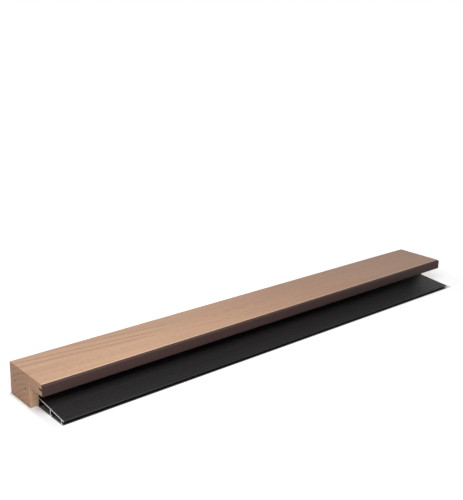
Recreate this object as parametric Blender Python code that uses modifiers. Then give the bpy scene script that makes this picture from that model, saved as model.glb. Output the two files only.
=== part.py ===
"""Door threshold: a rebated oak sill, a brown edge strip and a ribbed aluminium tread.

The sill's nosing hangs over the rear half of the tread. The tread is one extrusion, screwed through
its rear web to the wall of the sill's rebate. The edge strip covers the nosing's front face and is
held by a barbed stem in a kerf. X runs along the threshold, Y goes inwards and Z is up; the origin
is on the floor in the middle of the part.
"""
import math

import bmesh
import bpy
from mathutils import Matrix, Vector

MM = 0.001

# Shared by all pieces
CLEARANCE = 0.3 * MM          # between neighbouring solids
OVERRUN = 2 * MM              # how far a cutter runs past the face it opens
WELD_DISTANCE = 0.005 * MM
ARC_SEGMENTS = 4
ROUND_STEPS = 24              # sides of a screw or a round hole
FILLET_LIMIT_SHARE = 0.45     # most of a neighbouring edge that a rounded corner may use

# Oak sill
SILL_LENGTH = 950 * MM
SILL_DEPTH = 98.7 * MM
SILL_HEIGHT = 53 * MM
NOSING_THICKNESS = 18.6 * MM
REBATE_DEPTH = 38 * MM
SILL_ARRIS_RADIUS = 1.0 * MM
SILL_EDGE_RADIUS = 0.5 * MM

# Fixing holes in the sill's end faces
END_HOLE_RADIUS = 2.2 * MM
END_HOLE_DEPTH = 45 * MM
END_HOLE_Y_SHARES = (0.52, 0.86)   # of the sill's depth, from its front
END_HOLE_HEIGHT_SHARE = 0.5        # of the sill's height

# Edge strip
STRIP_THICKNESS = 2.8 * MM
STRIP_TOP_DROP = 0.9 * MM     # below the sill's top
STRIP_FRONT_RADIUS = 1.1 * MM
STRIP_BACK_RADIUS = 0.3 * MM
STEM_THICKNESS = 2.0 * MM
STEM_LENGTH = 8 * MM
BARB_COUNT = 3
BARB_HEIGHT = 0.6 * MM
BARB_LENGTH = 1.6 * MM

# Tread
TREAD_END_SETBACK = 12.5 * MM  # from the sill's end faces
TREAD_REACH = 33.4 * MM       # nose in front of the edge strip's face
PLATE_THICKNESS = 1.7 * MM
PLATE_NOSE_HEIGHT = 7.25 * MM  # top of the plate at its front edge
PLATE_SLOPE_DEG = 6.0
NOSE_RADIUS = 0.9 * MM
GROOVE_PITCH = 6.38 * MM
GROOVE_FIRST = 4.6 * MM       # from the plate's front edge
GROOVE_WIDTH = 1.4 * MM
GROOVE_DEPTH = 0.5 * MM
GROOVE_FLOOR_SHARE = 0.4      # of the groove's width
TOE_SETBACK = 2.4 * MM        # nose foot behind the plate's front edge
TOE_THICKNESS = 1.8 * MM
NOSE_WEB_SETBACK = 6.0 * MM
NOSE_WEB_THICKNESS = 1.8 * MM
LEG_SETBACK = 37.3 * MM
LEG_THICKNESS = 2.0 * MM
LEG_FOOT_REACH = 4.2 * MM
LEG_FOOT_THICKNESS = 1.8 * MM
REAR_WEB_THICKNESS = 2.0 * MM
REAR_WEB_TOP_GAP = 3.4 * MM   # below the nosing
INNER_RADIUS = 0.8 * MM
EDGE_RADIUS = 0.4 * MM

# Screws that hold the tread to the sill
SCREW_COUNT = 5
SCREW_END_DISTANCE = 62.5 * MM  # from the tread's ends
SCREW_RADIUS = 2.1 * MM
SCREW_LENGTH = 30 * MM
SCREW_POINT_LENGTH = 5 * MM
SCREW_TIP_RADIUS = 0.3 * MM
SCREW_HEAD_RADIUS = 4.0 * MM
SCREW_HEAD_HEIGHT = 2.6 * MM
CROSS_WIDTH = 1.0 * MM
CROSS_LENGTH = 4.4 * MM
CROSS_DEPTH = 1.5 * MM

# Lengths and places that follow from the sizes above
TREAD_LENGTH = SILL_LENGTH - 2 * TREAD_END_SETBACK
OVERALL_DEPTH = TREAD_REACH + STRIP_THICKNESS + CLEARANCE + SILL_DEPTH
NOSE_Y = -OVERALL_DEPTH / 2
STRIP_Y = NOSE_Y + TREAD_REACH
SILL_Y = STRIP_Y + STRIP_THICKNESS + CLEARANCE
REBATE_WALL_Y = SILL_Y + REBATE_DEPTH
REBATE_HEIGHT = SILL_HEIGHT - NOSING_THICKNESS
STEM_Z = SILL_HEIGHT - NOSING_THICKNESS / 2
PLATE_SLOPE = math.tan(math.radians(PLATE_SLOPE_DEG))
REAR_WEB_BACK = REBATE_WALL_Y - CLEARANCE - NOSE_Y
REAR_WEB_FRONT = REAR_WEB_BACK - REAR_WEB_THICKNESS
REAR_WEB_TOP = REBATE_HEIGHT - REAR_WEB_TOP_GAP


def plate_top(y):
    """Height of the tread's plate at a distance y behind its front edge."""
    return PLATE_NOSE_HEIGHT + PLATE_SLOPE * y


def plate_under(y):
    return plate_top(y) - PLATE_THICKNESS


SCREW_Z = (plate_top(REAR_WEB_FRONT) + REAR_WEB_TOP) / 2


def new_material(name, color, roughness, metallic=0.0):
    material = bpy.data.materials.new(name)
    material.use_nodes = True
    shader = material.node_tree.nodes["Principled BSDF"]
    shader.inputs["Base Color"].default_value = (*color, 1.0)
    shader.inputs["Roughness"].default_value = roughness
    shader.inputs["Metallic"].default_value = metallic
    return material


def rounded(corners):
    """Replaces each corner (y, z, radius) of a closed outline by an arc that touches both edges."""
    points = []
    for index, (y, z, radius) in enumerate(corners):
        corner = Vector((y, z))
        if radius == 0:
            points.append(corner)
            continue
        to_last = Vector(corners[index - 1][:2]) - corner
        to_next = Vector(corners[(index + 1) % len(corners)][:2]) - corner
        half_angle = to_last.angle(to_next) / 2
        shorter = min(to_last.length, to_next.length)
        tangent = min(radius / math.tan(half_angle), shorter * FILLET_LIMIT_SHARE)
        radius = tangent * math.tan(half_angle)
        to_last.normalize()
        to_next.normalize()
        centre = corner + (to_last + to_next).normalized() * radius / math.sin(half_angle)
        start = corner + to_last * tangent - centre
        end = corner + to_next * tangent - centre
        turn = math.pi - 2 * half_angle
        for step in range(ARC_SEGMENTS + 1):
            share = step / ARC_SEGMENTS
            arm = start * math.sin((1 - share) * turn) + end * math.sin(share * turn)
            points.append(centre + arm / math.sin(turn))
    return points


def extruded(name, points, length, front_y, material, collection):
    """A bar along X with the closed outline of points (y, z), centred on X = 0."""
    curve = bpy.data.curves.new(name, "CURVE")
    curve.dimensions = "2D"
    curve.fill_mode = "BOTH"
    curve.extrude = length / 2
    spline = curve.splines.new("POLY")
    spline.points.add(len(points) - 1)
    for spline_point, point in zip(spline.points, points):
        spline_point.co = (point.x, point.y, 0, 1)
    spline.use_cyclic_u = True
    outline = bpy.data.objects.new(name + "_outline", curve)
    # The outline's x goes along Y and its y along Z
    outline.matrix_world = Matrix(((0, 0, 1, 0), (1, 0, 0, front_y), (0, 1, 0, 0), (0, 0, 0, 1)))
    collection.objects.link(outline)
    bpy.context.view_layer.update()
    depsgraph = bpy.context.evaluated_depsgraph_get()
    mesh = bpy.data.meshes.new_from_object(outline.evaluated_get(depsgraph))
    mesh.name = name
    bm = bmesh.new()
    bm.from_mesh(mesh)
    bmesh.ops.remove_doubles(bm, verts=bm.verts, dist=WELD_DISTANCE)
    bmesh.ops.recalc_face_normals(bm, faces=bm.faces)
    bm.to_mesh(mesh)
    bm.free()
    bar = bpy.data.objects.new(name, mesh)
    bar.matrix_world = outline.matrix_world
    bpy.data.objects.remove(outline)
    mesh.materials.clear()
    mesh.materials.append(material)
    collection.objects.link(bar)
    return bar


def hole_cutter(name, holes, collection):
    """One cutter of several round holes, each given as (start, end, radius)."""
    bm = bmesh.new()
    for start, end, radius in holes:
        axis = Vector(end) - Vector(start)
        place = Matrix.Translation((Vector(start) + Vector(end)) / 2)
        turn = axis.to_track_quat("Z", "Y").to_matrix().to_4x4()
        bmesh.ops.create_cone(bm, cap_ends=True, segments=ROUND_STEPS, radius1=radius,
                              radius2=radius, depth=axis.length, matrix=place @ turn)
    mesh = bpy.data.meshes.new(name)
    bm.to_mesh(mesh)
    bm.free()
    cutter = bpy.data.objects.new(name, mesh)
    cutter.hide_render = True
    cutter.display_type = "WIRE"
    collection.objects.link(cutter)
    return cutter


def cut(target, cutter):
    boolean = target.modifiers.new(cutter.name, "BOOLEAN")
    boolean.operation = "DIFFERENCE"
    boolean.object = cutter


def screw_places():
    """X of each screw, evenly spaced along the tread."""
    first = -TREAD_LENGTH / 2 + SCREW_END_DISTANCE
    step = -2 * first / (SCREW_COUNT - 1)
    return [first + index * step for index in range(SCREW_COUNT)]


def sill_outline():
    """Section of the sill, from its front bottom corner round the rebate; y starts at its front."""
    kerf_half = STEM_THICKNESS / 2 + BARB_HEIGHT + CLEARANCE
    kerf_depth = STEM_LENGTH + CLEARANCE
    return rounded([
        (REBATE_DEPTH, 0, SILL_EDGE_RADIUS),
        (SILL_DEPTH, 0, SILL_EDGE_RADIUS),
        (SILL_DEPTH, SILL_HEIGHT, SILL_ARRIS_RADIUS),
        (0, SILL_HEIGHT, SILL_ARRIS_RADIUS),
        (0, STEM_Z + kerf_half, 0),
        (kerf_depth, STEM_Z + kerf_half, 0),
        (kerf_depth, STEM_Z - kerf_half, 0),
        (0, STEM_Z - kerf_half, 0),
        (0, REBATE_HEIGHT, SILL_EDGE_RADIUS),
        (REBATE_DEPTH, REBATE_HEIGHT, SILL_EDGE_RADIUS),
    ])


def strip_outline():
    """Section of the edge strip; y starts at its front face, z at the floor."""
    top = SILL_HEIGHT - STRIP_TOP_DROP
    bottom = REBATE_HEIGHT
    half = STEM_THICKNESS / 2
    root = STRIP_THICKNESS
    tip = root + STEM_LENGTH
    spacing = (STEM_LENGTH - CLEARANCE) / BARB_COUNT
    corners = [
        (0, bottom, STRIP_FRONT_RADIUS),
        (root, bottom, STRIP_BACK_RADIUS),
        (root, STEM_Z - half, 0),
    ]
    barbs = []
    for index in range(BARB_COUNT):
        heel = tip - (BARB_COUNT - 1 - index) * spacing - BARB_LENGTH
        barbs.append((heel, heel + BARB_LENGTH))
    for heel, point in barbs:
        corners.append((heel, STEM_Z - half, 0))
        corners.append((heel, STEM_Z - half - BARB_HEIGHT, 0))
        corners.append((point, STEM_Z - half, 0))
    for heel, point in reversed(barbs):
        corners.append((point, STEM_Z + half, 0))
        corners.append((heel, STEM_Z + half + BARB_HEIGHT, 0))
        corners.append((heel, STEM_Z + half, 0))
    corners += [
        (root, STEM_Z + half, 0),
        (root, top, STRIP_BACK_RADIUS),
        (0, top, STRIP_FRONT_RADIUS),
    ]
    return rounded(corners)


def grooves():
    """Corners of the plate's grooves, front to back."""
    corners = []
    y = GROOVE_FIRST
    while y + GROOVE_WIDTH < REAR_WEB_FRONT:
        for share, depth in ((0.5, 0), (GROOVE_FLOOR_SHARE / 2, GROOVE_DEPTH)):
            corners.append((y - share * GROOVE_WIDTH, plate_top(y - share * GROOVE_WIDTH) - depth, 0))
        for share, depth in ((GROOVE_FLOOR_SHARE / 2, GROOVE_DEPTH), (0.5, 0)):
            corners.append((y + share * GROOVE_WIDTH, plate_top(y + share * GROOVE_WIDTH) - depth, 0))
        y += GROOVE_PITCH
    return corners


def tread_outline():
    """Section of the tread; y starts at the plate's front edge, z at the floor."""
    leg_back = LEG_SETBACK + LEG_THICKNESS
    web_back = NOSE_WEB_SETBACK + NOSE_WEB_THICKNESS
    return rounded([
        (0, plate_top(0), NOSE_RADIUS),
        *grooves(),
        (REAR_WEB_FRONT, plate_top(REAR_WEB_FRONT), INNER_RADIUS),
        (REAR_WEB_FRONT, REAR_WEB_TOP, EDGE_RADIUS),
        (REAR_WEB_BACK, REAR_WEB_TOP, EDGE_RADIUS),
        (REAR_WEB_BACK, 0, EDGE_RADIUS),
        (REAR_WEB_FRONT, 0, EDGE_RADIUS),
        (REAR_WEB_FRONT, plate_under(REAR_WEB_FRONT), INNER_RADIUS),
        (leg_back, plate_under(leg_back), INNER_RADIUS),
        (leg_back, 0, EDGE_RADIUS),
        (LEG_SETBACK - LEG_FOOT_REACH, 0, EDGE_RADIUS),
        (LEG_SETBACK - LEG_FOOT_REACH, LEG_FOOT_THICKNESS, EDGE_RADIUS),
        (LEG_SETBACK, LEG_FOOT_THICKNESS, INNER_RADIUS),
        (LEG_SETBACK, plate_under(LEG_SETBACK), INNER_RADIUS),
        (web_back, plate_under(web_back), INNER_RADIUS),
        (web_back, 0, EDGE_RADIUS),
        (TOE_SETBACK, 0, EDGE_RADIUS),
        (TOE_SETBACK, TOE_THICKNESS, EDGE_RADIUS),
        (NOSE_WEB_SETBACK, TOE_THICKNESS, INNER_RADIUS),
        (NOSE_WEB_SETBACK, plate_under(NOSE_WEB_SETBACK), INNER_RADIUS),
        (0, plate_under(0), EDGE_RADIUS),
    ])


def screw_holes(extra_length):
    """Clearance holes along Y through the rear web and into the sill."""
    radius = SCREW_RADIUS + CLEARANCE
    start = NOSE_Y + REAR_WEB_FRONT - OVERRUN
    end = NOSE_Y + REAR_WEB_FRONT - CLEARANCE + extra_length
    return [((x, start, SCREW_Z), (x, end, SCREW_Z), radius) for x in screw_places()]


def end_holes():
    """Pilot holes along X in the sill's two end faces."""
    z = SILL_HEIGHT * END_HOLE_HEIGHT_SHARE
    holes = []
    for side in (-1, 1):
        for share in END_HOLE_Y_SHARES:
            y = SILL_Y + SILL_DEPTH * share
            outer = side * (SILL_LENGTH / 2 + OVERRUN)
            inner = side * (SILL_LENGTH / 2 - END_HOLE_DEPTH)
            holes.append(((outer, y, z), (inner, y, z), END_HOLE_RADIUS))
    return holes


def make_sill(parts, cutters):
    oak = new_material("oak", (0.58, 0.37, 0.25), 0.55)
    sill = extruded("oak_sill", sill_outline(), SILL_LENGTH, SILL_Y, oak, parts)
    cut(sill, hole_cutter("sill_screw_holes", screw_holes(SCREW_LENGTH + 2 * CLEARANCE), cutters))
    cut(sill, hole_cutter("sill_end_holes", end_holes(), cutters))
    return sill


def make_strip(parts):
    rubber = new_material("brown_rubber", (0.060, 0.040, 0.037), 0.6)
    return extruded("edge_strip", strip_outline(), SILL_LENGTH, STRIP_Y, rubber, parts)


def make_tread(parts, cutters):
    black = new_material("black_coated_aluminium", (0.026, 0.024, 0.026), 0.45)
    tread = extruded("tread", tread_outline(), TREAD_LENGTH, NOSE_Y, black, parts)
    through = REAR_WEB_THICKNESS + CLEARANCE + OVERRUN
    cut(tread, hole_cutter("tread_screw_holes", screw_holes(through), cutters))
    return tread


def screw_mesh(steel, collection):
    """A pan head screw pointing down -Z, with the underside of its head at the origin."""
    profile = []
    for step in range(ARC_SEGMENTS + 1):
        turn = math.pi / 2 * step / ARC_SEGMENTS
        profile.append((SCREW_HEAD_RADIUS * math.sin(turn), SCREW_HEAD_HEIGHT * math.cos(turn)))
    profile += [
        (SCREW_RADIUS, 0),
        (SCREW_RADIUS, SCREW_POINT_LENGTH - SCREW_LENGTH),
        (SCREW_TIP_RADIUS, -SCREW_LENGTH),
        (0, -SCREW_LENGTH),
    ]
    mesh = bpy.data.meshes.new("screw_profile")
    edges = [(index, index + 1) for index in range(len(profile) - 1)]
    mesh.from_pydata([(radius, 0, z) for radius, z in profile], edges, [])
    turned = bpy.data.objects.new("screw_profile", mesh)
    collection.objects.link(turned)
    spin = turned.modifiers.new("turn", "SCREW")
    spin.steps = ROUND_STEPS
    spin.render_steps = ROUND_STEPS
    spin.use_merge_vertices = True
    spin.merge_threshold = WELD_DISTANCE
    cross = []
    for name, size in (("cross_x", (CROSS_LENGTH, CROSS_WIDTH)), ("cross_y", (CROSS_WIDTH, CROSS_LENGTH))):
        bm = bmesh.new()
        top = SCREW_HEAD_HEIGHT + OVERRUN
        bottom = SCREW_HEAD_HEIGHT - CROSS_DEPTH
        shape = Matrix.Diagonal((*size, top - bottom, 1))
        bmesh.ops.create_cube(bm, size=1, matrix=Matrix.Translation((0, 0, (top + bottom) / 2)) @ shape)
        cutter_mesh = bpy.data.meshes.new(name)
        bm.to_mesh(cutter_mesh)
        bm.free()
        cutter = bpy.data.objects.new(name, cutter_mesh)
        collection.objects.link(cutter)
        cut(turned, cutter)
        cross.append(cutter)
    bpy.context.view_layer.update()
    depsgraph = bpy.context.evaluated_depsgraph_get()
    finished = bpy.data.meshes.new_from_object(turned.evaluated_get(depsgraph))
    finished.name = "tread_screw"
    for helper in (turned, *cross):
        bpy.data.objects.remove(helper)
    finished.materials.clear()
    finished.materials.append(steel)
    return finished


def make_screws(parts, cutters):
    steel = new_material("zinc_steel", (0.55, 0.55, 0.56), 0.35, 1.0)
    mesh = screw_mesh(steel, cutters)
    for index, x in enumerate(screw_places()):
        screw = bpy.data.objects.new(f"tread_screw_{index + 1}", mesh)
        # The head faces the front and its underside lies on the rear web
        screw.location = (x, NOSE_Y + REAR_WEB_FRONT - CLEARANCE, SCREW_Z)
        screw.rotation_euler = (math.pi / 2, 0, 0)
        parts.objects.link(screw)


def main():
    for leftover in list(bpy.data.objects):
        bpy.data.objects.remove(leftover)
    parts = bpy.data.collections.new("door_threshold")
    cutters = bpy.data.collections.new("cutters")
    bpy.context.scene.collection.children.link(parts)
    bpy.context.scene.collection.children.link(cutters)
    make_sill(parts, cutters)
    make_strip(parts)
    make_tread(parts, cutters)
    make_screws(parts, cutters)


main()
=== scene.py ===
"""Dresses the door threshold: an oak sill, a brown edge strip, a black ribbed tread and its screws.

X runs along the threshold, Y goes inwards from the tread's nose and Z is up, in metres.
"""
import math

import bmesh
import bpy
from bpy.props import FloatProperty, FloatVectorProperty, PointerProperty
from mathutils import Matrix, Vector


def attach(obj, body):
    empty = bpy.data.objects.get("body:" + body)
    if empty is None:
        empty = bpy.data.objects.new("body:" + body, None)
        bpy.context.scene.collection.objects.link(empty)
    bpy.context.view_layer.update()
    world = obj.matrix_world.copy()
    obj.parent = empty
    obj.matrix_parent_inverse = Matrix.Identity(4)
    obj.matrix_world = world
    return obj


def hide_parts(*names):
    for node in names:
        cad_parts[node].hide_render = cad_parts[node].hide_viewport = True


bl_info = {
    "name": "Door Threshold",
    "version": (1, 0, 0),
    "blender": (4, 5, 0),
    "location": "3D View > Sidebar > Threshold",
    "description": "Finishes an oak door threshold with a rubber edge strip and a black aluminium tread",
    "category": "Object",
}

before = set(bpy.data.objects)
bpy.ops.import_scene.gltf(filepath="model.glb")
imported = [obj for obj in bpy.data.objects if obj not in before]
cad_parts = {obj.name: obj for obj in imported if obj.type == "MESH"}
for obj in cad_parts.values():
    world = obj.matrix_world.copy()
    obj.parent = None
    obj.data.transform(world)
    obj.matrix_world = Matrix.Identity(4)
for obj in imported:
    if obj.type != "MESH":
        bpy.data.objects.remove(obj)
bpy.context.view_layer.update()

MM = 0.001
BODY = "root"

MERGE_DISTANCE = 0.005 * MM         # corners nearer than this become one
FLAT_ANGLE = math.radians(1)        # faces closer to one plane than this become one face
SMOOTH_ANGLE = math.radians(32)     # edges flatter than this are shaded smooth
HARD_ANGLE = math.radians(40)       # edges sharper than this are softened
SOFTENING_SEGMENTS = 2
END_HOLE_REACH = 50 * MM            # faces wholly this near an end belong to its cut and its holes
FOOT_HEIGHT = 0.1 * MM              # corners lower than this stand on the floor
NOISE_MIDDLE = 0.5                  # the mean of a noise, which lies between 0 and 1


def node_box(name, below=math.inf):
    """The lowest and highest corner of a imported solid, or of its part below a height."""
    places = [vertex.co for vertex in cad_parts[name].data.vertices if vertex.co.z < below]
    axes = list(zip(*places))
    return [min(axis) for axis in axes], [max(axis) for axis in axes]


SILL_BOX = node_box("oak_sill")
STRIP_BOX = node_box("edge_strip")
TREAD_BOX = node_box("tread")
TREAD_FOOT = node_box("tread", below=FOOT_HEIGHT)
FOOTPRINT = ((SILL_BOX[0][0], TREAD_FOOT[0][1]), SILL_BOX[1][:2])
SCREWS = sorted(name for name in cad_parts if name.startswith("tread_screw"))


class OakLook(bpy.types.PropertyGroup):
    """Colours and grain of the oak sill"""
    late_colour: FloatVectorProperty(
        name="Late wood", description="Colour of the dense wood between the pore bands",
        subtype="COLOR", size=3, min=0, max=1, default=(0.615, 0.384, 0.252))
    early_colour: FloatVectorProperty(
        name="Early wood", description="Colour of the porous band of each year ring",
        subtype="COLOR", size=3, min=0, max=1, default=(0.45, 0.265, 0.168))
    pore_colour: FloatVectorProperty(
        name="Pores", description="Colour inside the open pores",
        subtype="COLOR", size=3, min=0, max=1, default=(0.25, 0.14, 0.085))
    # Painted shade: this tint darkens the board towards its right end
    right_end_shade_tint: FloatVectorProperty(
        name="Shading tint", description="Tint of the board towards its right end, where the wood is deeper",
        subtype="COLOR", size=3, min=0, max=1, default=(0.86, 0.79, 0.77))
    # Painted highlight: this lighter colour along the front arris stands in for light catching it
    arris_highlight_colour: FloatVectorProperty(
        name="Arris", description="Lighter colour of the highlit arris along the front",
        subtype="COLOR", size=3, min=0, max=1, default=(0.66, 0.46, 0.33))
    # Painted shade: this dark colour stands in for shade in the joint between the arris and the strip
    seam_shade_colour: FloatVectorProperty(
        name="Seam", description="Dark colour of the front arris, where the edge strip meets the wood",
        subtype="COLOR", size=3, min=0, max=1, default=(0.085, 0.045, 0.030))
    end_grain_tint: FloatVectorProperty(
        name="End grain tint", description="Tint of the open end grain, which takes up more oil",
        subtype="COLOR", size=3, min=0, max=1, default=(0.78, 0.71, 0.65))
    # Painted shade: this tint darkens the holes deeper in
    hole_shade_tint: FloatVectorProperty(
        name="Hole tint", description="Tint deep inside the holes in the end faces",
        subtype="COLOR", size=3, min=0, max=1, default=(0.16, 0.13, 0.11))
    ring_spacing: FloatProperty(
        name="Ring spacing", description="Width of one year ring",
        unit="LENGTH", min=0.5 * MM, default=8.0 * MM)
    heart_place: FloatVectorProperty(
        name="Heart", description="Where the log's heart passes the middle of the sill",
        subtype="TRANSLATION", unit="LENGTH", size=3, default=(0.0, -70 * MM, -52 * MM))
    heart_slope: FloatVectorProperty(
        name="Heart slope", description="How far the heart drifts in Y and Z for each metre of length",
        size=2, default=(-0.136, 0.0))
    figure_place: FloatVectorProperty(
        name="Figure", description="Where the year rings show most on the sill's top",
        subtype="TRANSLATION", unit="LENGTH", size=3, default=(-0.39, 37 * MM, 53 * MM))
    figure_reach: FloatVectorProperty(
        name="Figure reach", description="How far that figure fades out along, across and down",
        subtype="XYZ", unit="LENGTH", size=3, default=(0.26, 36 * MM, 80 * MM))
    dashes_place: FloatVectorProperty(
        name="Dashes", description="Where a row of open pores shows on the sill's top",
        subtype="TRANSLATION", unit="LENGTH", size=3, default=(-0.045, 19 * MM, 53 * MM))
    dashes_reach: FloatVectorProperty(
        name="Dashes reach", description="How far that row fades out along, across and down",
        subtype="XYZ", unit="LENGTH", size=3, default=(0.12, 11 * MM, 80 * MM))
    softening: FloatProperty(
        name="Softening", description="Width of the fine bevel on hard edges",
        unit="LENGTH", min=0, default=0.25 * MM)


class StripLook(bpy.types.PropertyGroup):
    """Colours of the edge strip"""
    colour: FloatVectorProperty(
        name="Rubber", description="Colour of the edge strip",
        subtype="COLOR", size=3, min=0, max=1, default=(0.050, 0.0285, 0.0258))
    # Painted highlight: this lighter colour along the strip's top edge stands in for light catching it
    upper_edge_highlight_colour: FloatVectorProperty(
        name="Upper edge", description="Lighter colour of the strip's highlit upper edge",
        subtype="COLOR", size=3, min=0, max=1, default=(0.084, 0.050, 0.042))
    # Painted shade: this dark colour stands in for shade in the joint at the strip's back
    seam_shade_colour: FloatVectorProperty(
        name="Seam", description="Dark colour at the strip's back, where it meets the wood",
        subtype="COLOR", size=3, min=0, max=1, default=(0.012, 0.008, 0.007))
    softening: FloatProperty(
        name="Softening", description="Width of the fine bevel on hard edges",
        unit="LENGTH", min=0, default=0.12 * MM)


class TreadLook(bpy.types.PropertyGroup):
    """Colours of the tread's coat and of its cut ends"""
    coat_colour: FloatVectorProperty(
        name="Coat", description="Colour of the black coat",
        subtype="COLOR", size=3, min=0, max=1, default=(0.0175, 0.0165, 0.0175))
    # Painted highlight: this lighter colour along the tread's front edge stands in for a reflection
    nose_highlight_colour: FloatVectorProperty(
        name="Nose", description="Lighter colour of the coat along the tread's highlit front edge",
        subtype="COLOR", size=3, min=0, max=1, default=(0.043, 0.041, 0.042))
    # Painted shade: this tint darkens the coat under the nosing and in the recess under the tread's front
    # edge
    nosing_shade_tint: FloatVectorProperty(
        name="Shadow tint", description="Tint of the coat that no foot rubs, under the nosings",
        subtype="COLOR", size=3, min=0, max=1, default=(0.35, 0.35, 0.35))
    metal_colour: FloatVectorProperty(
        name="Cut metal", description="Colour of the bare aluminium at the cut ends",
        subtype="COLOR", size=3, min=0, max=1, default=(0.64, 0.64, 0.65))
    softening: FloatProperty(
        name="Softening", description="Width of the fine bevel on hard edges",
        unit="LENGTH", min=0, default=0.1 * MM)


class ScrewLook(bpy.types.PropertyGroup):
    """Colours of the tread's screws"""
    colour: FloatVectorProperty(
        name="Zinc", description="Colour of the zinc plating",
        subtype="COLOR", size=3, min=0, max=1, default=(0.66, 0.67, 0.68))
    cloud_tint: FloatVectorProperty(
        name="Cloud tint", description="Warm tint of the cloudy patches in the plating",
        subtype="COLOR", size=3, min=0, max=1, default=(0.93, 0.9, 0.8))
    softening: FloatProperty(
        name="Softening", description="Width of the fine bevel on hard edges",
        unit="LENGTH", min=0, default=0.08 * MM)


class StageLook(bpy.types.PropertyGroup):
    """Camera, light and floor"""
    camera_place: FloatVectorProperty(
        name="Camera place", description="Where the camera stands",
        subtype="TRANSLATION", unit="LENGTH", size=3, default=(-0.9356, -0.9456, 0.5624))
    camera_yaw: FloatProperty(
        name="Yaw", description="How far the camera turns from +Y towards +X",
        subtype="ANGLE", default=math.radians(41.562))
    camera_pitch: FloatProperty(
        name="Pitch", description="How far the camera looks down",
        subtype="ANGLE", default=math.radians(17.108))
    camera_roll: FloatProperty(
        name="Roll", description="How far the camera leans",
        subtype="ANGLE", default=math.radians(-1.399))
    focal_length: FloatProperty(
        name="Focal length", description="Focal length on a 36 mm film, in millimetres",
        min=1, default=56.25)
    floor_width: FloatProperty(
        name="Floor width", description="Width of the square floor",
        unit="LENGTH", min=1, default=24.0)
    floor_colour: FloatVectorProperty(
        name="Floor", description="Colour of the pale floor",
        subtype="COLOR", size=3, min=0, max=1, default=(0.9, 0.9, 0.9))
    # Painted shadow: this darker floor colour under the tread and at its foot
    contact_shadow_colour: FloatVectorProperty(
        name="Contact", description="Darker colour of the floor under the tread and at its foot",
        subtype="COLOR", size=3, min=0, max=1, default=(0.12, 0.12, 0.12))
    lamp_place: FloatVectorProperty(
        name="Lamp place", description="Middle of the large soft lamp",
        subtype="TRANSLATION", unit="LENGTH", size=3, default=(-0.55, -0.57, 0.78))
    lamp_width: FloatProperty(
        name="Lamp width", description="Width of the square soft lamp",
        unit="LENGTH", min=0.01, default=0.8)
    lamp_power: FloatProperty(
        name="Lamp power", description="Power of the soft lamp",
        subtype="POWER", min=0, default=11.0)
    sky_strength: FloatProperty(
        name="Sky strength", description="Light that falls from above, all round",
        min=0, default=0.42)


def set_inputs(tree, made, values):
    """Fills a node's inputs. Each gets a value, or another node's output to link."""
    for key, value in values.items():
        if isinstance(value, bpy.types.NodeSocket):
            tree.links.new(value, made.inputs[key])
        else:
            made.inputs[key].default_value = value


def node(tree, kind, inputs=None, **settings):
    """Adds a shader node with its settings and inputs."""
    made = tree.nodes.new(kind)
    for name, value in settings.items():
        setattr(made, name, value)
    set_inputs(tree, made, inputs or {})
    return made


def maths(tree, operation, *values, clamp=False):
    """A sum or other operation on numbers. Each is a value, or another node's output."""
    made = node(tree, "ShaderNodeMath", dict(enumerate(values)), operation=operation, use_clamp=clamp)
    return made.outputs[0]


def vector_maths(tree, operation, *values):
    """The same for vectors."""
    made = node(tree, "ShaderNodeVectorMath", dict(enumerate(values)), operation=operation)
    return made.outputs["Value" if operation == "LENGTH" else "Vector"]


def axis_of(tree, vector, axis):
    """One of a vector's three numbers."""
    return node(tree, "ShaderNodeSeparateXYZ", {0: vector}).outputs[axis]


def mapped(tree, value, low, high, new_low=0.0, new_high=1.0):
    """A smooth step from new_low to new_high while value goes from low to high."""
    made = node(tree, "ShaderNodeMapRange", {0: value, 1: low, 2: high, 3: new_low, 4: new_high},
                interpolation_type="SMOOTHSTEP")
    return made.outputs[0]


def rising(tree, value, band, start=0.0):
    """A smooth step from 0 to 1 over a band, which is measured from start."""
    return mapped(tree, value, start + band[0], start + band[1], 0.0, 1.0)


def falling(tree, value, band, start=0.0):
    """A smooth step from 1 to 0 over a band, which is measured from start."""
    return mapped(tree, value, start + band[0], start + band[1], 1.0, 0.0)


def mixed(tree, share, first, second, blend="MIX"):
    """Two colours mixed by a share."""
    made = node(tree, "ShaderNodeMix", {0: share, 6: first, 7: second},
                data_type="RGBA", blend_type=blend)
    return made.outputs[2]


def bumped(tree, height, strength, depth, normal=None):
    """The normal of a surface that a height between 0 and 1 shapes."""
    made = node(tree, "ShaderNodeBump", {"Strength": strength, "Distance": depth, "Height": height})
    if normal is not None:
        tree.links.new(normal, made.inputs["Normal"])
    return made.outputs["Normal"]


def rgba(colour):
    """A colour with full alpha."""
    return (*colour, 1.0)


def shades(colour, darker, lighter=1.0):
    """A darker and a lighter shade of one colour, with full alpha."""
    return [rgba(min(1.0, share * factor) for share in colour) for factor in (darker, lighter)]


def new_group(name, inputs, outputs):
    """A shader node group; inputs are (name, socket type, default) and outputs (name, socket type).

    Returns its tree, the outputs of its input node, and its output node.
    """
    tree = bpy.data.node_groups.new(name, "ShaderNodeTree")
    for socket_name, kind, default in inputs:
        socket = tree.interface.new_socket(socket_name, in_out="INPUT", socket_type=kind)
        if default is not None:
            socket.default_value = default
    for socket_name, kind in outputs:
        tree.interface.new_socket(socket_name, in_out="OUTPUT", socket_type=kind)
    return tree, tree.nodes.new("NodeGroupInput").outputs, tree.nodes.new("NodeGroupOutput")


def use_group(tree, name, inputs):
    """Places a node group in a material."""
    return node(tree, "ShaderNodeGroup", inputs, node_tree=bpy.data.node_groups[name]).outputs


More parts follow.
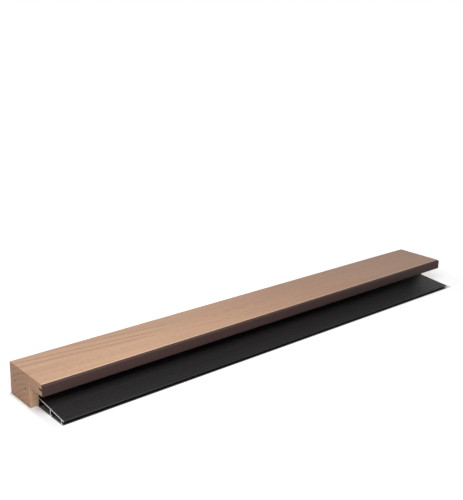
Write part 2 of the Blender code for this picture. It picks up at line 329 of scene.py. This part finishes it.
def make_streaks_group():
    """Noise drawn out along one axis: grain, die lines and saw marks."""
    tree, given, put_out = new_group(
        "lengthwise_streaks",
        [("Vector", "NodeSocketVector", None), ("Lines Per Metre", "NodeSocketVector", (1, 1, 1)),
         ("Detail", "NodeSocketFloat", 2.0),
         ("Low", "NodeSocketFloat", 0.3), ("High", "NodeSocketFloat", 0.7)],
        [("Mask", "NodeSocketFloat")])
    place = vector_maths(tree, "MULTIPLY", given["Vector"], given["Lines Per Metre"])
    noise = node(tree, "ShaderNodeTexNoise", {
        "Vector": place, "Scale": 1.0, "Detail": given["Detail"], "Roughness": 0.55})
    set_inputs(tree, put_out, {"Mask": mapped(tree, noise.outputs["Fac"], given["Low"], given["High"])})


def make_surface_group():
    """Fine unevenness of a coat or a skin: a varied roughness and a bumped normal."""
    tree, given, put_out = new_group(
        "fine_surface",
        [("Vector", "NodeSocketVector", None), ("Grains Per Metre", "NodeSocketFloat", 900.0),
         ("Patches Per Metre", "NodeSocketFloat", 14.0), ("Roughness", "NodeSocketFloat", 0.5),
         ("Variation", "NodeSocketFloat", 0.08), ("Depth", "NodeSocketFloat", 0.02 * MM)],
        [("Roughness", "NodeSocketFloat"), ("Patches", "NodeSocketFloat"),
         ("Normal", "NodeSocketVector")])
    grain = node(tree, "ShaderNodeTexNoise", {
        "Vector": given["Vector"], "Scale": given["Grains Per Metre"], "Detail": 2.0})
    patches = node(tree, "ShaderNodeTexNoise", {
        "Vector": given["Vector"], "Scale": given["Patches Per Metre"], "Detail": 3.0})
    centred = maths(tree, "SUBTRACT", patches.outputs["Fac"], NOISE_MIDDLE)
    set_inputs(tree, put_out, {
        "Roughness": maths(tree, "MULTIPLY_ADD", centred, given["Variation"], given["Roughness"],
                           clamp=True),
        "Patches": patches.outputs["Fac"],
        "Normal": bumped(tree, grain.outputs["Fac"], strength=1.0, depth=given["Depth"])})


WANDERS_PER_METRE = (2.4, 7.0, 7.0)     # how often the rings wander along X, Y and Z
WANDER = (0.0, 5 * MM, 5 * MM)          # how far they wander
CHANGES_PER_METRE = 110.0               # how often wide and narrow years take turns on the way outwards
UNEVENNESS = 0.7                        # how far a wide or narrow year moves the next, in years
PORE_BAND = (0.0, 0.2, 0.8)             # where in a year the porous band starts, peaks and ends
PLAINEST_BAND = 0.65                    # how much of its band the plainest year still shows
RAYS_PER_RADIAN = 260.0                 # rays round the heart
RAY_BREAKS_PER_METRE = 45.0             # how often a ray breaks off on its way outwards
RAY_LEVELS = (0.55, 0.75)               # noise levels between which a ray comes out


def make_year_rings_group():
    """Year rings of a log whose heart passes at a place and slope, and the rays that cross them.

    Each ring starts with a porous band. Years differ in width and in how plain that band is.
    """
    tree, given, put_out = new_group(
        "year_rings",
        [("Vector", "NodeSocketVector", None), ("Heart", "NodeSocketVector", None),
         ("Slope", "NodeSocketVector", None), ("Spacing", "NodeSocketFloat", 3 * MM)],
        [("Early Wood", "NodeSocketFloat"), ("Rays", "NodeSocketFloat")])
    calm = vector_maths(tree, "MULTIPLY", given["Vector"], WANDERS_PER_METRE)
    wander = node(tree, "ShaderNodeTexNoise", {
        "Vector": calm, "Scale": 1.0, "Detail": 2.0, "Roughness": 0.4})
    centred = vector_maths(tree, "SUBTRACT", wander.outputs["Color"], (NOISE_MIDDLE,) * 3)
    shift = vector_maths(tree, "MULTIPLY", centred, WANDER)
    place = vector_maths(tree, "ADD", vector_maths(tree, "SUBTRACT", given["Vector"], given["Heart"]),
                         shift)
    along = axis_of(tree, given["Vector"], "X")
    drift = node(tree, "ShaderNodeVectorMath", {0: given["Slope"], "Scale": along}, operation="SCALE")
    outwards = vector_maths(tree, "SUBTRACT", place, drift.outputs["Vector"])
    across = vector_maths(tree, "MULTIPLY", outwards, (0.0, 1.0, 1.0))
    radius = vector_maths(tree, "LENGTH", across)
    years = node(tree, "ShaderNodeTexNoise", {
        "W": maths(tree, "MULTIPLY", radius, CHANGES_PER_METRE), "Scale": 1.0}, noise_dimensions="1D")
    uneven = maths(tree, "MULTIPLY", maths(tree, "SUBTRACT", years.outputs["Fac"], NOISE_MIDDLE),
                   UNEVENNESS)
    rings = maths(tree, "ADD", maths(tree, "DIVIDE", radius, given["Spacing"]), uneven)
    part = maths(tree, "FRACT", rings)
    band = maths(tree, "MULTIPLY", rising(tree, part, PORE_BAND[:2]), falling(tree, part, PORE_BAND[1:]))
    year = node(tree, "ShaderNodeTexWhiteNoise", {"W": maths(tree, "FLOOR", rings)},
                noise_dimensions="1D")
    clear = maths(tree, "MULTIPLY_ADD", year.outputs["Value"], 1 - PLAINEST_BAND, PLAINEST_BAND)
    angle = maths(tree, "ARCTAN2", axis_of(tree, across, "Y"), axis_of(tree, across, "Z"))
    ray_place = node(tree, "ShaderNodeCombineXYZ", {
        "X": maths(tree, "MULTIPLY", angle, RAYS_PER_RADIAN),
        "Y": maths(tree, "MULTIPLY", radius, RAY_BREAKS_PER_METRE)})
    rays = node(tree, "ShaderNodeTexNoise", {
        "Vector": ray_place.outputs[0], "Scale": 1.0, "Detail": 1.0})
    set_inputs(tree, put_out, {
        "Early Wood": maths(tree, "MULTIPLY", band, clear),
        "Rays": rising(tree, rays.outputs["Fac"], RAY_LEVELS)})


def streaks(tree, vector, lines, detail=2.0, low=0.3, high=0.7):
    """Lines per metre along X, Y and Z, from 0 at the low noise level to 1 at the high one."""
    return use_group(tree, "lengthwise_streaks", {
        "Vector": vector, "Lines Per Metre": lines, "Detail": detail, "Low": low, "High": high})["Mask"]


PATCH_FADE = (0.45, 1.0)        # where a patch fades, as shares of its reach


def patch_of(tree, vector, middle, reach):
    """A soft patch: 1 around its middle, fading to 0 at its reach along each axis."""
    offset = vector_maths(tree, "SUBTRACT", vector, tuple(middle))
    shares = vector_maths(tree, "DIVIDE", offset, tuple(reach))
    return falling(tree, vector_maths(tree, "LENGTH", shares), PATCH_FADE)


def new_material(name):
    """A material with its Principled shader and the object's own coordinates."""
    material = bpy.data.materials.new(name)
    material.use_nodes = True
    tree = material.node_tree
    shader = tree.nodes["Principled BSDF"]
    coordinates = tree.nodes.new("ShaderNodeTexCoord").outputs["Object"]
    return material, tree, shader, coordinates


RINGS_EVERYWHERE = 0.08             # how clearly the year rings show in all of the wood,
RINGS_IN_PLACES = 0.12              # what is added in places,
RINGS_IN_FIGURE = 0.85              # and what is added in the figured patch
PORES_EVERYWHERE = 0.25             # how open the pores are in all of the wood,
PORES_IN_EARLY_WOOD = 0.6           # and what is added in early wood
DASHES_OPEN = 0.22                  # how open the row of long pores is
RING_TONE = 0.8                     # how far a year ring turns the colour to that of early wood,
BROAD_TONE = 0.27                   # a broad streak,
FIBRE_TONE = 0.28                   # and a fibre
PORE_TONE = 0.75                    # how far an open pore turns the colour to its own
FIBRE_HEIGHT = 0.25                 # heights and hollows, as shares of a pore's depth
RING_HOLLOW = 0.2
PLANED_ROUGHNESS = 0.5
SAWN_ROUGHNESS = 0.62
PORE_ROUGHNESS = 0.2                # what an open pore adds
RIGHT_END_SHADE_BAND = (-0.30, 0.15)         # along X: painted shade darkens the board towards its right end
SEAM_SHADE_BAND = (0.1 * MM, 0.4 * MM)    # back from the sill's front face: the painted shade in the joint fades out
ARRIS_START = (0.3 * MM, 0.7 * MM)  # back from there: the painted highlight on the arris begins
ARRIS_END = (2 * MM, 3 * MM)        # back from there: it fades out
RAY_TONE = 0.35                     # how far a ray on an end face turns the colour to that of late wood
HOLE_SHADE_BAND = (0.3 * MM, 3 * MM)      # inwards from an end face: painted shade darkens a hole


def front_edge_colour(tree, colour, vector, look):
    """Adds a painted highlight on the arris along the sill's front and painted shade in the joint against
    the strip.
    """
    across = axis_of(tree, vector, "Y")
    front = SILL_BOX[0][1]
    # painted highlight on the front arris
    arris = maths(tree, "MULTIPLY", rising(tree, across, ARRIS_START, front),
                  falling(tree, across, ARRIS_END, front))
    colour = mixed(tree, arris, colour, rgba(look.arris_highlight_colour))
    # painted shade in the joint against the strip
    return mixed(tree, falling(tree, across, SEAM_SHADE_BAND, front), colour, rgba(look.seam_shade_colour))


def end_grain_colour(tree, colour, vector, rays, look):
    """Adds the rays and the tint of an end face, and painted shade that darkens the holes inwards."""
    colour = mixed(tree, maths(tree, "MULTIPLY", rays, RAY_TONE), colour, rgba(look.late_colour))
    colour = mixed(tree, 1.0, colour, rgba(look.end_grain_tint), "MULTIPLY")
    # painted shade inside the holes
    depth = maths(tree, "SUBTRACT", SILL_BOX[1][0], maths(tree, "ABSOLUTE", axis_of(tree, vector, "X")))
    return mixed(tree, rising(tree, depth, HOLE_SHADE_BAND), colour, rgba(look.hole_shade_tint), "MULTIPLY")


def oak_material(look, name, end_grain=False):
    """Oak that was planed and oiled. The same wood shows rings and dots of pores on an end face."""
    material, tree, shader, vector = new_material(name)
    rings = use_group(tree, "year_rings", {
        "Vector": vector, "Heart": look.heart_place, "Slope": (0.0, *look.heart_slope),
        "Spacing": look.ring_spacing})
    early = rings["Early Wood"]
    broad = streaks(tree, vector, lines=(3.0, 120.0, 120.0), detail=3.0, low=0.25, high=0.75)
    fibre = streaks(tree, vector, lines=(11.0, 900.0, 900.0), detail=3.0, low=0.25, high=0.75)
    pores = streaks(tree, vector, lines=(90.0, 1700.0, 1700.0), detail=1.0, low=0.56, high=0.70)
    in_places = streaks(tree, vector, lines=(2.2, 16.0, 16.0), detail=1.0, low=0.42, high=0.60)
    dashes = streaks(tree, vector, lines=(55.0, 420.0, 420.0), detail=1.0, low=0.50, high=0.62)

    figured = patch_of(tree, vector, look.figure_place, look.figure_reach)
    clear = maths(tree, "MULTIPLY_ADD", figured, RINGS_IN_FIGURE,
                  maths(tree, "MULTIPLY_ADD", in_places, RINGS_IN_PLACES, RINGS_EVERYWHERE))
    banded = maths(tree, "MULTIPLY", early, clear)
    row = maths(tree, "MULTIPLY", patch_of(tree, vector, look.dashes_place, look.dashes_reach), dashes)
    openness = maths(tree, "MULTIPLY_ADD", early, PORES_IN_EARLY_WOOD, PORES_EVERYWHERE)
    opened = maths(tree, "MULTIPLY", pores, openness, clamp=True)
    opened = maths(tree, "ADD", opened, maths(tree, "MULTIPLY", row, DASHES_OPEN), clamp=True)
    fine = maths(tree, "ADD", maths(tree, "MULTIPLY", broad, BROAD_TONE),
                 maths(tree, "MULTIPLY", fibre, FIBRE_TONE))
    tone = maths(tree, "ADD", maths(tree, "MULTIPLY", banded, RING_TONE), fine, clamp=True)

    colour = mixed(tree, tone, rgba(look.late_colour), rgba(look.early_colour))
    colour = mixed(tree, maths(tree, "MULTIPLY", opened, PORE_TONE), colour, rgba(look.pore_colour))
    # painted shade, growing towards the right end
    shadowed = rising(tree, axis_of(tree, vector, "X"), RIGHT_END_SHADE_BAND)
    colour = mixed(tree, shadowed, colour, rgba(look.right_end_shade_tint), "MULTIPLY")
    colour = front_edge_colour(tree, colour, vector, look)
    if end_grain:
        colour = end_grain_colour(tree, colour, vector, rings["Rays"], look)
    height = maths(tree, "SUBTRACT", maths(tree, "MULTIPLY", fibre, FIBRE_HEIGHT),
                   maths(tree, "ADD", opened, maths(tree, "MULTIPLY", banded, RING_HOLLOW)))
    set_inputs(tree, shader, {
        "Base Color": colour,
        "Roughness": maths(tree, "MULTIPLY_ADD", opened, PORE_ROUGHNESS,
                           SAWN_ROUGHNESS if end_grain else PLANED_ROUGHNESS),
        "Normal": bumped(tree, height, strength=0.6, depth=0.12 * MM),
        "Specular IOR Level": 0.35})
    return material


PATCHES_SHARE = 0.6                     # how much of the rubber's tone comes from cloudy patches,
LINES_SHARE = 0.4                       # and how much from extrusion lines
UPPER_EDGE_HIGHLIGHT_BAND = (-3 * MM, -0.4 * MM)  # height against the strip's top: its painted highlight comes in
STRIP_SEAM_SHADE_BAND = (1.9 * MM, 2.5 * MM)  # back from the strip's front face: painted shade in the joint at its back comes in
STRIP_SEAM_SHADE_TONE = 0.7                   # how far that painted shade turns the colour to its own


def rubber_material(look):
    """Smooth brown rubber with faint extrusion lines."""
    material, tree, shader, vector = new_material("brown_rubber_skin")
    surface = use_group(tree, "fine_surface", {
        "Vector": vector, "Grains Per Metre": 1500.0, "Patches Per Metre": 18.0,
        "Roughness": 0.52, "Variation": 0.12, "Depth": 0.02 * MM})
    lines = streaks(tree, vector, lines=(2.5, 1300.0, 1300.0))
    tone = maths(tree, "ADD", maths(tree, "MULTIPLY", surface["Patches"], PATCHES_SHARE),
                 maths(tree, "MULTIPLY", lines, LINES_SHARE), clamp=True)
    colour = mixed(tree, tone, *shades(look.colour, darker=0.9, lighter=1.12))
    # painted highlight along the strip's top edge
    upper_edge_highlight = rising(tree, axis_of(tree, vector, "Z"), UPPER_EDGE_HIGHLIGHT_BAND, STRIP_BOX[1][2])
    colour = mixed(tree, upper_edge_highlight, colour, rgba(look.upper_edge_highlight_colour))
    # painted shade in the joint at the strip's back
    seam_shade = rising(tree, axis_of(tree, vector, "Y"), STRIP_SEAM_SHADE_BAND, STRIP_BOX[0][1])
    colour = mixed(tree, maths(tree, "MULTIPLY", seam_shade, STRIP_SEAM_SHADE_TONE), colour, rgba(look.seam_shade_colour))
    set_inputs(tree, shader, {
        "Base Color": colour,
        "Roughness": surface["Roughness"],
        "Normal": bumped(tree, lines, strength=0.5, depth=0.03 * MM, normal=surface["Normal"]),
        "Specular IOR Level": 0.08})
    return material


NOSE_ACROSS = (0.4 * MM, 1.6 * MM)      # back from the tread's front: its painted highlight fades out
NOSE_UP = (6.5 * MM, 7.1 * MM)          # up from the floor: it comes in
NOSE_ALONG = (-0.42, -0.1)              # along X: it fades out
RECESS_ACROSS = (6.5 * MM, 7.5 * MM)    # back from the tread's front: the painted shade in the recess under its front edge ends
RECESS_UP = (5.0 * MM, 5.6 * MM)        # up from the floor: it ends
NOSING_SHADE_ACROSS = (16 * MM, 26 * MM)   # back from the strip's front face: painted shade under the nosing comes in


def coat_material(look):
    """Satin black coat over the die lines of the extrusion."""
    material, tree, shader, vector = new_material("satin_black_coat")
    surface = use_group(tree, "fine_surface", {
        "Vector": vector, "Grains Per Metre": 2400.0, "Patches Per Metre": 9.0,
        "Roughness": 0.5, "Variation": 0.1, "Depth": 0.02 * MM})
    lines = streaks(tree, vector, lines=(1.5, 900.0, 900.0), detail=3.0)
    along, across, up = (axis_of(tree, vector, axis) for axis in "XYZ")
    front = TREAD_BOX[0][1]
    # painted highlight along the tread's front edge, fading to the right
    nose_highlight = maths(tree, "MULTIPLY", falling(tree, across, NOSE_ACROSS, front), rising(tree, up, NOSE_UP))
    nose_highlight = maths(tree, "MULTIPLY", nose_highlight, falling(tree, along, NOSE_ALONG))
    # painted shade in the recess and under the nosing
    recess = maths(tree, "MULTIPLY", falling(tree, across, RECESS_ACROSS, front),
                   falling(tree, up, RECESS_UP))
    under_nosing = rising(tree, across, NOSING_SHADE_ACROSS, STRIP_BOX[0][1])
    nosing_and_recess_shade = maths(tree, "MAXIMUM", under_nosing, recess)
    colour = mixed(tree, lines, *shades(look.coat_colour, darker=0.85, lighter=1.25))
    colour = mixed(tree, nose_highlight, colour, rgba(look.nose_highlight_colour))
    colour = mixed(tree, nosing_and_recess_shade, colour, rgba(look.nosing_shade_tint), "MULTIPLY")
    set_inputs(tree, shader, {
        "Base Color": colour,
        "Roughness": surface["Roughness"],
        "Normal": bumped(tree, lines, strength=0.35, depth=0.03 * MM, normal=surface["Normal"]),
        "Specular IOR Level": 0.12})
    return material


SAW_SLANT = math.radians(24)    # how far the saw marks lean on a cut end


def cut_metal_material(look):
    """Bare aluminium with the fine marks of the saw."""
    material, tree, shader, vector = new_material("sawn_aluminium")
    surface = use_group(tree, "fine_surface", {
        "Vector": vector, "Grains Per Metre": 3000.0, "Patches Per Metre": 120.0,
        "Roughness": 0.36, "Variation": 0.2, "Depth": 0.01 * MM})
    slanted = node(tree, "ShaderNodeMapping", {"Vector": vector, "Rotation": (SAW_SLANT, 0, 0)})
    marks = streaks(tree, slanted.outputs["Vector"], lines=(900.0, 2600.0, 70.0))
    set_inputs(tree, shader, {
        "Base Color": mixed(tree, marks, *shades(look.metal_colour, darker=0.82)),
        "Roughness": surface["Roughness"],
        "Normal": bumped(tree, marks, strength=0.4, depth=0.04 * MM, normal=surface["Normal"]),
        "Metallic": 1.0})
    return material


def zinc_material(look):
    """Zinc plating, a little cloudy."""
    material, tree, shader, vector = new_material("zinc_plating")
    surface = use_group(tree, "fine_surface", {
        "Vector": vector, "Grains Per Metre": 2600.0, "Patches Per Metre": 320.0,
        "Roughness": 0.3, "Variation": 0.3, "Depth": 0.01 * MM})
    cloudy = rgba(share * tint for share, tint in zip(look.colour, look.cloud_tint))
    set_inputs(tree, shader, {
        "Base Color": mixed(tree, surface["Patches"], cloudy, rgba(look.colour)),
        "Roughness": surface["Roughness"],
        "Normal": surface["Normal"],
        "Metallic": 1.0})
    return material


def linked_object(name, data):
    """A new object of the scene that holds the data."""
    made = bpy.data.objects.new(name, data)
    bpy.context.scene.collection.objects.link(made)
    return made


def softened(node_name, piece_name, width):
    """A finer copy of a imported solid: whole faces instead of triangles, and its hard edges softened."""
    mesh = bpy.data.meshes.new(piece_name)
    bm = bmesh.new()
    bm.from_mesh(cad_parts[node_name].data)
    bmesh.ops.remove_doubles(bm, verts=bm.verts, dist=MERGE_DISTANCE)
    bmesh.ops.dissolve_limit(bm, angle_limit=FLAT_ANGLE, verts=bm.verts, edges=bm.edges)
    hard = [edge for edge in bm.edges if edge.is_manifold and edge.calc_face_angle() > HARD_ANGLE]
    bmesh.ops.bevel(bm, geom=hard, offset=width, offset_type="OFFSET", affect="EDGES",
                    segments=SOFTENING_SEGMENTS, profile=0.5, material=-1, clamp_overlap=True)
    bm.to_mesh(mesh)
    bm.free()
    mesh.shade_smooth()
    mesh.set_sharp_from_angle(angle=SMOOTH_ANGLE)
    return linked_object(piece_name, mesh)


def set_finishes(piece, side, end=None):
    """The side material, and the end material on the cut ends with their edges and holes."""
    mesh = piece.data
    mesh.materials.append(side)
    if end is None:
        return
    mesh.materials.append(end)
    inner = max(vertex.co.x for vertex in mesh.vertices) - END_HOLE_REACH
    for face in mesh.polygons:
        along = [mesh.vertices[corner].co.x for corner in face.vertices]
        if min(along) > inner or max(along) < -inner:
            face.material_index = 1


def hand_over(piece, slot, *nodes):
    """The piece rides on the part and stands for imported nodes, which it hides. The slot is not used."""
    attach(piece, BODY)
    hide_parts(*nodes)


class THRESHOLD_OT_sill(bpy.types.Operator):
    """Make the oak sill, with grain along its length and end grain on its ends"""
    bl_idname = "threshold.sill"
    bl_label = "Oak Sill"

    def execute(self, context):
        look = context.scene.threshold_oak
        sill = softened("oak_sill", "oak_sill_board", look.softening)
        set_finishes(sill, oak_material(look, "oiled_oak"),
                     oak_material(look, "oak_end_grain", end_grain=True))
        hand_over(sill, "oak", "oak_sill")
        return {"FINISHED"}


class THRESHOLD_OT_strip(bpy.types.Operator):
    """Make the brown rubber edge strip"""
    bl_idname = "threshold.strip"
    bl_label = "Edge Strip"

    def execute(self, context):
        look = context.scene.threshold_strip
        strip = softened("edge_strip", "rubber_edge_strip", look.softening)
        set_finishes(strip, rubber_material(look))
        hand_over(strip, "brown_rubber", "edge_strip")
        return {"FINISHED"}


class THRESHOLD_OT_tread(bpy.types.Operator):
    """Make the black tread with bare metal at its cut ends"""
    bl_idname = "threshold.tread"
    bl_label = "Tread"

    def execute(self, context):
        look = context.scene.threshold_tread
        tread = softened("tread", "ribbed_tread", look.softening)
        set_finishes(tread, coat_material(look), cut_metal_material(look))
        hand_over(tread, "black_coated_aluminium", "tread")
        return {"FINISHED"}


class THRESHOLD_OT_screws(bpy.types.Operator):
    """Make the screws that hold the tread to the sill"""
    bl_idname = "threshold.screws"
    bl_label = "Tread Screws"

    def execute(self, context):
        look = context.scene.threshold_screws
        zinc = zinc_material(look)
        for name in SCREWS:
            screw = softened(name, name + "_zinc", look.softening)
            set_finishes(screw, zinc)
            hand_over(screw, "zinc_steel", name)
        return {"FINISHED"}


def seen_directly(tree):
    """1 for rays by which the camera sees, straight or by way of a gloss or a glass, and 0 for others."""
    path = node(tree, "ShaderNodeLightPath").outputs
    passed_on = maths(tree, "ADD", path["Is Glossy Ray"], path["Is Transmission Ray"])
    return maths(tree, "ADD", path["Is Camera Ray"], passed_on, clamp=True)


def distance_beyond(tree, place, low, high, end_share=1.0):
    """How far a point of the floor lies outside a footprint. Past its ends end_share of it counts."""
    middle = [(a + b) / 2 for a, b in zip(low[:2], high[:2])]
    half = [(b - a) / 2 for a, b in zip(low[:2], high[:2])]
    offset = vector_maths(tree, "ABSOLUTE", vector_maths(tree, "SUBTRACT", place, (*middle, 0.0)))
    beyond = vector_maths(tree, "SUBTRACT", offset, (*half, 0.0))
    beyond = vector_maths(tree, "MAXIMUM", beyond, (0.0, 0.0, 0.0))
    return vector_maths(tree, "LENGTH", vector_maths(tree, "MULTIPLY", beyond, (end_share, 1.0, 1.0)))


CONTACT_SHADOW_BAND = (0.0, 4 * MM)    # out from the tread's foot: the floor's painted shadow fades out
CONTACT_SHADOW_END_SHARE = 2.5         # past the ends it fades this much sooner
NEAR_BAND = (0.0, 5 * MM)       # out from the part: the floor's glow for the camera comes in,
NEAR_END_SHARE = 0.5            # past the ends more slowly,
NEAR_GLOW = 0.5                 # up to this level
FAR_BAND = (0.03, 0.35)         # out from the part, in metres: more glow comes in, until all is white
FAR_GLOW = 0.6


def floor_material(look):
    """Pale floor that keeps the object's shadow, with a painted shadow under the tread's foot; it reads
    white to the camera and is open from below.
    """
    material, tree, shader, place = new_material("pale_floor")
    # painted shadow on the floor under the tread's foot
    foot = distance_beyond(tree, place, *TREAD_FOOT, end_share=CONTACT_SHADOW_END_SHARE)
    contact_shadow = falling(tree, foot, CONTACT_SHADOW_BAND)
    set_inputs(tree, shader, {
        "Base Color": mixed(tree, contact_shadow, rgba(look.floor_colour), rgba(look.contact_shadow_colour)),
        "Roughness": 1.0,
        "Specular IOR Level": 0.0})
    beside = distance_beyond(tree, place, *FOOTPRINT, end_share=NEAR_END_SHARE)
    near = maths(tree, "MULTIPLY", rising(tree, beside, NEAR_BAND), NEAR_GLOW)
    away = distance_beyond(tree, place, *FOOTPRINT)
    far = maths(tree, "MULTIPLY", rising(tree, away, FAR_BAND), FAR_GLOW)
    level = maths(tree, "MULTIPLY", seen_directly(tree), maths(tree, "ADD", near, far))
    glow = node(tree, "ShaderNodeEmission", {"Strength": level})
    lit = node(tree, "ShaderNodeAddShader", {0: shader.outputs[0], 1: glow.outputs[0]})
    from_below = maths(tree, "MULTIPLY", node(tree, "ShaderNodeLightPath").outputs["Is Camera Ray"],
                       node(tree, "ShaderNodeNewGeometry").outputs["Backfacing"])
    clear = node(tree, "ShaderNodeBsdfTransparent")
    result = node(tree, "ShaderNodeMixShader", {0: from_below, 1: lit.outputs[0], 2: clear.outputs[0]})
    set_inputs(tree, tree.nodes["Material Output"], {"Surface": result.outputs[0]})
    return material


def make_floor(look):
    """A square floor under the part."""
    bm = bmesh.new()
    bmesh.ops.create_grid(bm, x_segments=1, y_segments=1, size=look.floor_width / 2)
    mesh = bpy.data.meshes.new("floor")
    bm.to_mesh(mesh)
    bm.free()
    floor = linked_object("floor", mesh)
    mesh.materials.append(floor_material(look))


SKY_BAND = (0.35, 0.95)         # from 0 for a level direction to 1 for an upright one: the sky brightens
HORIZON_SHARE = 0.1             # how bright it still is at the horizon


def make_world(strength):
    """White to the camera; for light, a sky that fades towards the horizon."""
    world = bpy.data.worlds.new("studio")
    bpy.context.scene.world = world
    world.use_nodes = True
    tree = world.node_tree
    tree.nodes.clear()
    up = axis_of(tree, node(tree, "ShaderNodeTexCoord").outputs["Generated"], "Z")
    level = maths(tree, "MULTIPLY_ADD", rising(tree, up, SKY_BAND), (1 - HORIZON_SHARE) * strength,
                  HORIZON_SHARE * strength)
    sky = node(tree, "ShaderNodeBackground", {"Color": (1, 1, 1, 1), "Strength": level})
    white = node(tree, "ShaderNodeBackground", {"Color": (1, 1, 1, 1), "Strength": 1.0})
    chosen = node(tree, "ShaderNodeMixShader", {
        0: seen_directly(tree), 1: sky.outputs[0], 2: white.outputs[0]})
    node(tree, "ShaderNodeOutputWorld", {"Surface": chosen.outputs[0]})


def make_lamp(look):
    """A large soft lamp that looks at the part's middle."""
    lamp = bpy.data.lights.new("soft_lamp", "AREA")
    lamp.size = look.lamp_width
    lamp.energy = look.lamp_power
    holder = linked_object("soft_lamp", lamp)
    holder.location = look.lamp_place
    holder.rotation_euler = (-Vector(look.lamp_place)).to_track_quat("-Z", "Y").to_euler()


def make_camera(look):
    """The camera, turned by its yaw, pitch and roll."""
    camera = bpy.data.cameras.new("camera")
    camera.lens = look.focal_length
    holder = linked_object("camera", camera)
    turn = (Matrix.Rotation(-look.camera_yaw, 4, "Z")
            @ Matrix.Rotation(math.pi / 2 - look.camera_pitch, 4, "X")
            @ Matrix.Rotation(-look.camera_roll, 4, "Z"))
    holder.matrix_world = Matrix.Translation(look.camera_place) @ turn
    bpy.context.scene.camera = holder


class THRESHOLD_OT_stage(bpy.types.Operator):
    """Make the pale floor, the soft light and the camera"""
    bl_idname = "threshold.stage"
    bl_label = "Stage"

    def execute(self, context):
        look = context.scene.threshold_stage
        make_floor(look)
        make_world(look.sky_strength)
        make_lamp(look)
        make_camera(look)
        context.scene.view_settings.view_transform = "Standard"
        return {"FINISHED"}


class THRESHOLD_PT_panel(bpy.types.Panel):
    """Lists the threshold's pieces, with their sizes and colours"""
    bl_idname = "THRESHOLD_PT_panel"
    bl_label = "Door Threshold"
    bl_space_type = "VIEW_3D"
    bl_region_type = "UI"
    bl_category = "Threshold"

    def draw(self, context):
        for operator, holder in zip(OPERATORS, LOOKS):
            box = self.layout.box()
            box.operator(operator.bl_idname)
            look = getattr(context.scene, holder)
            for setting in look.bl_rna.properties:
                if setting.identifier not in ("name", "rna_type"):
                    box.prop(look, setting.identifier)


LOOKS = {
    "threshold_oak": OakLook,
    "threshold_strip": StripLook,
    "threshold_tread": TreadLook,
    "threshold_screws": ScrewLook,
    "threshold_stage": StageLook,
}
OPERATORS = (THRESHOLD_OT_sill, THRESHOLD_OT_strip, THRESHOLD_OT_tread, THRESHOLD_OT_screws,
             THRESHOLD_OT_stage)
CLASSES = (*LOOKS.values(), *OPERATORS, THRESHOLD_PT_panel)


def register():
    for one in CLASSES:
        bpy.utils.register_class(one)
    for holder, look in LOOKS.items():
        setattr(bpy.types.Scene, holder, PointerProperty(type=look))


def unregister():
    for holder in LOOKS:
        delattr(bpy.types.Scene, holder)
    for one in reversed(CLASSES):
        bpy.utils.unregister_class(one)


def main():
    register()
    make_streaks_group()
    make_surface_group()
    make_year_rings_group()
    bpy.ops.threshold.sill()
    bpy.ops.threshold.strip()
    bpy.ops.threshold.tread()
    bpy.ops.threshold.screws()
    bpy.ops.threshold.stage()


if __name__ == "__main__":
    main()
